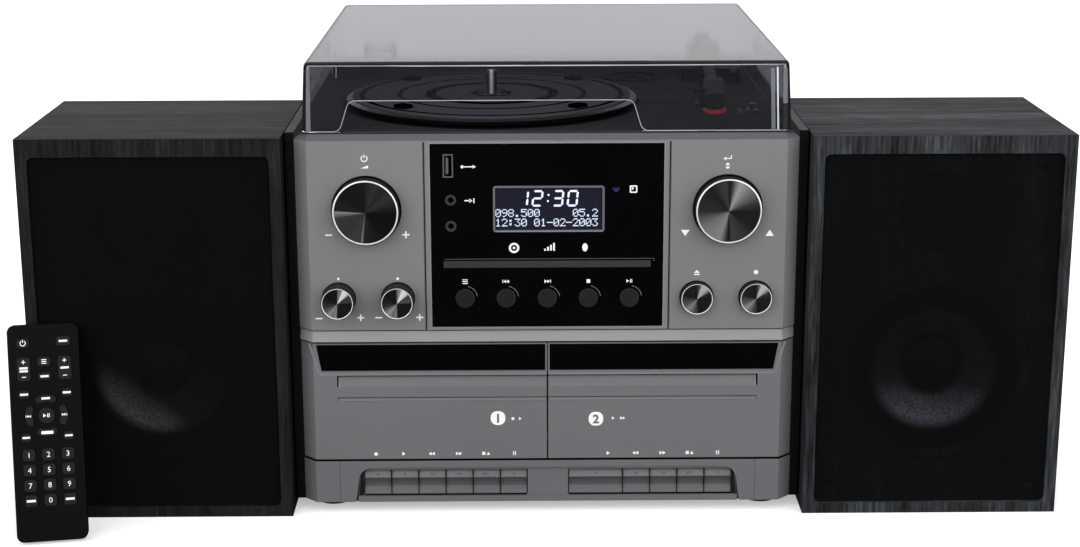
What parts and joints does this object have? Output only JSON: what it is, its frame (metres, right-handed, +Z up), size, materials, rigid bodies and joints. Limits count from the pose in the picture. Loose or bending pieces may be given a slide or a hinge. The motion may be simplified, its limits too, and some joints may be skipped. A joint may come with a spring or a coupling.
{
  "type": "stereo music centre",
  "caption": "Compact stereo music centre: hinged-lid turntable, slot disc player, radio display, twin cassette deck with piano keys, two box speakers and a remote.",
  "frame": {"origin": "on the standing surface under the middle of the whole set", "axes": "+X to the set's right seen from the front, +Y to the back, +Z up"},
  "size_m": [0.643, 0.3644, 0.2827],
  "materials": {
    "body": "satin metallic grey paint",
    "band": "satin light grey metallic",
    "deck": "fine textured dark grey",
    "gloss_black": "polished",
    "display": "dark display glass",
    "slot": "satin",
    "knob": "black anodised, spun",
    "plunger": "turned",
    "button": "satin",
    "smoked": "smoked clear, polished",
    "cover": "smoked clear, polished",
    "key": "satin metallic grey paint",
    "mechanism": "plated",
    "board": "laminate",
    "socket": "satin",
    "rubber": "matt",
    "platter": "satin",
    "mat": "matt",
    "spindle": "polished",
    "arm": "satin",
    "cartridge": "satin",
    "hinge": "satin",
    "wood": "black ash wrap",
    "driver": "paper cone and pressed frame",
    "cloth": "woven grille cloth",
    "remote": "fine textured",
    "keypad": "matt"
  },
  "bodies": {
    "music_centre": {"cabinet_case": "body", "rubber_feet": "rubber", "upper_fascia": "body", "gloss_panel": "gloss_black", "cd_slot_trim": "slot", "lcd_display": "display", "trim_band": "band", "key_bezel": "body", "cassette_mechanisms": "mechanism", "control_board": "board", "sockets": "socket", "turntable_deck": "deck", "record_adapter": "platter", "tonearm_base": "arm", "hinge_brackets": "hinge"},
    "cover": {"dust_cover": "cover"},
    "turntable": {"platter": "platter", "platter_mat": "mat", "record_spindle": "spindle"},
    "arm_yoke": {"tonearm_gimbal": "arm"},
    "arm": {"tonearm": "arm", "cartridge": "cartridge"},
    "cue": {"cue_lever": "arm"},
    "speed": {"speed_selector": "button"},
    "volume_push": {"volume_plunger": "plunger"},
    "volume": {"volume_knob": "knob"},
    "scroll_push": {"scroll_plunger": "plunger"},
    "scroll": {"scroll_knob": "knob"},
    "bass": {"bass_knob": "knob"},
    "treble": {"treble_knob": "knob"},
    "eject": {"eject_button": "knob"},
    "record_mode": {"record_button": "knob"},
    "door_1": {"cassette_door_1": "body", "cassette_window_1": "smoked"},
    "door_2": {"cassette_door_2": "body", "cassette_window_2": "smoked"},
    "left_speaker": {"left_speaker_cabinet": "wood", "left_speaker_drivers": "driver", "left_speaker_grille": "cloth"},
    "right_speaker": {"right_speaker_cabinet": "wood", "right_speaker_drivers": "driver", "right_speaker_grille": "cloth"},
    "remote": {"remote_case": "remote", "remote_keypad": "keypad"},
    "function_1": {"function_button_1": "button"},
    "function_2": {"function_button_2": "button"},
    "function_3": {"function_button_3": "button"},
    "function_4": {"function_button_4": "button"},
    "function_5": {"function_button_5": "button"},
    "keybar_1_record": {"key_1_record": "key"},
    "keybar_1_play": {"key_1_play": "key"},
    "keybar_1_rewind": {"key_1_rewind": "key"},
    "keybar_1_forward": {"key_1_forward": "key"},
    "keybar_1_stop": {"key_1_stop": "key"},
    "keybar_1_pause": {"key_1_pause": "key"},
    "keybar_2_play": {"key_2_play": "key"},
    "keybar_2_rewind": {"key_2_rewind": "key"},
    "keybar_2_forward": {"key_2_forward": "key"},
    "keybar_2_stop": {"key_2_stop": "key"},
    "keybar_2_pause": {"key_2_pause": "key"}
  },
  "joints": [
    {"name": "cover_hinge", "type": "hinge", "parent": "music_centre", "child": "cover", "pos_m": [0.00459, 0.17057, 0.2466], "axis": [-1, 0, 0], "range_deg": [0, 70]},
    {"name": "platter_spin", "type": "hinge", "parent": "music_centre", "child": "turntable", "pos_m": [-0.02991, -0.01843, 0.2458], "axis": [0, 0, -1], "continuous": true},
    {"name": "arm_swing", "type": "hinge", "parent": "music_centre", "child": "arm_yoke", "pos_m": [0.11659, 0.08457, 0.2605], "axis": [0, 0, -1], "range_deg": [0, 34]},
    {"name": "arm_lift", "type": "hinge", "parent": "arm_yoke", "child": "arm", "pos_m": [0.11659, 0.08457, 0.2605], "axis": [-0.9988, 0.0499, 0], "range_deg": [0, 4]},
    {"name": "cue_turn", "type": "hinge", "parent": "music_centre", "child": "cue", "pos_m": [0.13459, 0.06857, 0.2471], "axis": [-1, 0, 0], "range_deg": [0, 40]},
    {"name": "speed_slide", "type": "slide", "parent": "music_centre", "child": "speed", "axis": [0, 1, 0], "range_m": [0, 0.012]},
    {"name": "volume_press", "type": "slide", "parent": "music_centre", "child": "volume_push", "axis": [0, 1, 0], "range_m": [0, 0.0012], "stiffness_N_per_m": 800, "springref_m": -0.001},
    {"name": "volume_turn", "type": "hinge", "parent": "volume_push", "child": "volume", "pos_m": [-0.10441, -0.13043, 0.1943], "axis": [0, 1, 0], "continuous": true},
    {"name": "scroll_press", "type": "slide", "parent": "music_centre", "child": "scroll_push", "axis": [0, 1, 0], "range_m": [0, 0.0012], "stiffness_N_per_m": 800, "springref_m": -0.001},
    {"name": "scroll_turn", "type": "hinge", "parent": "scroll_push", "child": "scroll", "pos_m": [0.11359, -0.13043, 0.1943], "axis": [0, 1, 0], "continuous": true},
    {"name": "bass_turn", "type": "hinge", "parent": "music_centre", "child": "bass", "pos_m": [-0.12241, -0.13043, 0.139], "axis": [0, 1, 0], "range_deg": [-140, 140]},
    {"name": "treble_turn", "type": "hinge", "parent": "music_centre", "child": "treble", "pos_m": [-0.08641, -0.13043, 0.139], "axis": [0, 1, 0], "range_deg": [-140, 140]},
    {"name": "eject_press", "type": "slide", "parent": "music_centre", "child": "eject", "axis": [0, 1, 0], "range_m": [0, 0.0012], "stiffness_N_per_m": 600, "springref_m": -0.001},
    {"name": "record_press", "type": "slide", "parent": "music_centre", "child": "record_mode", "axis": [0, 1, 0], "range_m": [0, 0.0012], "stiffness_N_per_m": 600, "springref_m": -0.001},
    {"name": "function_1_press", "type": "slide", "parent": "music_centre", "child": "function_1", "axis": [0, 1, 0], "range_m": [0, 0.0012], "stiffness_N_per_m": 600, "springref_m": -0.001},
    {"name": "function_2_press", "type": "slide", "parent": "music_centre", "child": "function_2", "axis": [0, 1, 0], "range_m": [0, 0.0012], "stiffness_N_per_m": 600, "springref_m": -0.001},
    {"name": "function_3_press", "type": "slide", "parent": "music_centre", "child": "function_3", "axis": [0, 1, 0], "range_m": [0, 0.0012], "stiffness_N_per_m": 600, "springref_m": -0.001},
    {"name": "function_4_press", "type": "slide", "parent": "music_centre", "child": "function_4", "axis": [0, 1, 0], "range_m": [0, 0.0012], "stiffness_N_per_m": 600, "springref_m": -0.001},
    {"name": "function_5_press", "type": "slide", "parent": "music_centre", "child": "function_5", "axis": [0, 1, 0], "range_m": [0, 0.0012], "stiffness_N_per_m": 600, "springref_m": -0.001},
    {"name": "door_1_hinge", "type": "hinge", "parent": "music_centre", "child": "door_1", "pos_m": [0.00459, -0.12583, 0.038], "axis": [1, 0, 0], "range_deg": [0, 28]},
    {"name": "door_2_hinge", "type": "hinge", "parent": "music_centre", "child": "door_2", "pos_m": [0.00459, -0.12583, 0.038], "axis": [1, 0, 0], "range_deg": [0, 28]},
    {"name": "key_1_record_press", "type": "hinge", "parent": "music_centre", "child": "keybar_1_record", "pos_m": [0.00459, -0.07243, 0.024], "axis": [1, 0, 0], "range_deg": [0, 4.5], "stiffness_Nm_per_rad": 1.2, "springref_deg": -2.86},
    {"name": "key_1_play_press", "type": "hinge", "parent": "music_centre", "child": "keybar_1_play", "pos_m": [0.00459, -0.07243, 0.024], "axis": [1, 0, 0], "range_deg": [0, 4.5], "stiffness_Nm_per_rad": 1.2, "springref_deg": -2.86},
    {"name": "key_1_rewind_press", "type": "hinge", "parent": "music_centre", "child": "keybar_1_rewind", "pos_m": [0.00459, -0.07243, 0.024], "axis": [1, 0, 0], "range_deg": [0, 4.5], "stiffness_Nm_per_rad": 1.2, "springref_deg": -2.86},
    {"name": "key_1_forward_press", "type": "hinge", "parent": "music_centre", "child": "keybar_1_forward", "pos_m": [0.00459, -0.07243, 0.024], "axis": [1, 0, 0], "range_deg": [0, 4.5], "stiffness_Nm_per_rad": 1.2, "springref_deg": -2.86},
    {"name": "key_1_stop_press", "type": "hinge", "parent": "music_centre", "child": "keybar_1_stop", "pos_m": [0.00459, -0.07243, 0.024], "axis": [1, 0, 0], "range_deg": [0, 4.5], "stiffness_Nm_per_rad": 1.2, "springref_deg": -2.86},
    {"name": "key_1_pause_press", "type": "hinge", "parent": "music_centre", "child": "keybar_1_pause", "pos_m": [0.00459, -0.07243, 0.024], "axis": [1, 0, 0], "range_deg": [0, 4.5], "stiffness_Nm_per_rad": 1.2, "springref_deg": -2.86},
    {"name": "key_2_play_press", "type": "hinge", "parent": "music_centre", "child": "keybar_2_play", "pos_m": [0.00459, -0.07243, 0.024], "axis": [1, 0, 0], "range_deg": [0, 4.5], "stiffness_Nm_per_rad": 1.2, "springref_deg": -2.86},
    {"name": "key_2_rewind_press", "type": "hinge", "parent": "music_centre", "child": "keybar_2_rewind", "pos_m": [0.00459, -0.07243, 0.024], "axis": [1, 0, 0], "range_deg": [0, 4.5], "stiffness_Nm_per_rad": 1.2, "springref_deg": -2.86},
    {"name": "key_2_forward_press", "type": "hinge", "parent": "music_centre", "child": "keybar_2_forward", "pos_m": [0.00459, -0.07243, 0.024], "axis": [1, 0, 0], "range_deg": [0, 4.5], "stiffness_Nm_per_rad": 1.2, "springref_deg": -2.86},
    {"name": "key_2_stop_press", "type": "hinge", "parent": "music_centre", "child": "keybar_2_stop", "pos_m": [0.00459, -0.07243, 0.024], "axis": [1, 0, 0], "range_deg": [0, 4.5], "stiffness_Nm_per_rad": 1.2, "springref_deg": -2.86},
    {"name": "key_2_pause_press", "type": "hinge", "parent": "music_centre", "child": "keybar_2_pause", "pos_m": [0.00459, -0.07243, 0.024], "axis": [1, 0, 0], "range_deg": [0, 4.5], "stiffness_Nm_per_rad": 1.2, "springref_deg": -2.86},
    {"name": "left_speaker_move", "type": "slide", "parent": "music_centre", "child": "left_speaker", "axis": [-1, 0, 0], "range_m": [0, 0.3]},
    {"name": "right_speaker_move", "type": "slide", "parent": "music_centre", "child": "right_speaker", "axis": [1, 0, 0], "range_m": [0, 0.3]},
    {"name": "remote_lift", "type": "slide", "parent": "left_speaker", "child": "remote", "axis": [0, 0, 1], "range_m": [0, 0.15]}
  ],
  "couplings": [
    {"joint": "arm_lift", "follows": "cue_turn", "ratio": 0.1}
  ]
}
